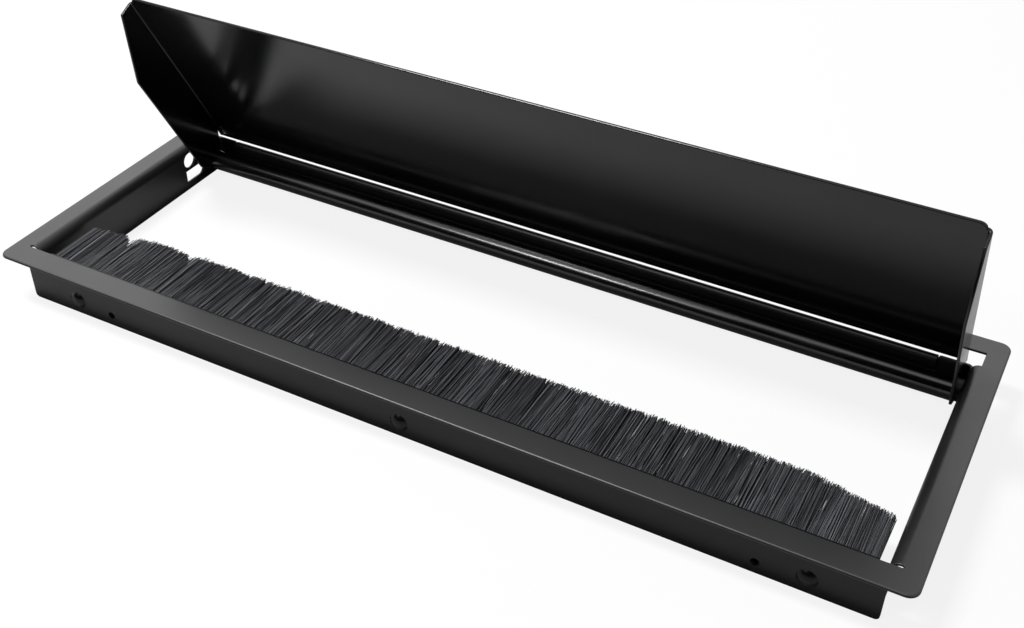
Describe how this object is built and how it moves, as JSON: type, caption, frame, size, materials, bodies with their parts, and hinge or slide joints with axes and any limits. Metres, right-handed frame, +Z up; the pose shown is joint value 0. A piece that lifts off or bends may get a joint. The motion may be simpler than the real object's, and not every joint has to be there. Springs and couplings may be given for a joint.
{
  "type": "desk cable grommet",
  "caption": "Long rectangular desk cable outlet: a flanged steel frame set in a desk top, with a brush strip along the front and a hinged lid along the back.",
  "frame": {"origin": "on the surface the frame stands on, under the centre of the rim", "axes": "+X along the length, +Y from the brush to the hinge, +Z up out of the desk top"},
  "size_m": [0.4, 0.148, 0.1105],
  "materials": {
    "frame_coat": "satin black powder coat",
    "lid_coat": "semi-gloss black powder coat",
    "tube_coat": "semi-gloss black powder coat",
    "rivet_black": "satin black steel",
    "holder_aluminium": "black anodised",
    "bristle_nylon": "black nylon filament",
    "bush_nylon": "moulded black nylon"
  },
  "bodies": {
    "frame": {"frame": "frame_coat", "front_apron": "frame_coat", "rear_rail": "frame_coat", "brush_holder": "holder_aluminium", "bristles": "bristle_nylon", "brush_rivet_left": "rivet_black", "brush_rivet_middle": "rivet_black", "brush_rivet_right": "rivet_black", "pivot_pin_left": "rivet_black", "pivot_pin_right": "rivet_black"},
    "lid": {"lid": "lid_coat", "hinge_tube": "tube_coat", "pivot_bush_left": "bush_nylon", "pivot_bush_right": "bush_nylon"}
  },
  "joints": [
    {"name": "lid_hinge", "type": "hinge", "parent": "frame", "child": "lid", "pos_m": [0, 0.0527, 0.0095], "axis": [1, 0, 0], "range_deg": [-2.7, 62.3]}
  ]
}
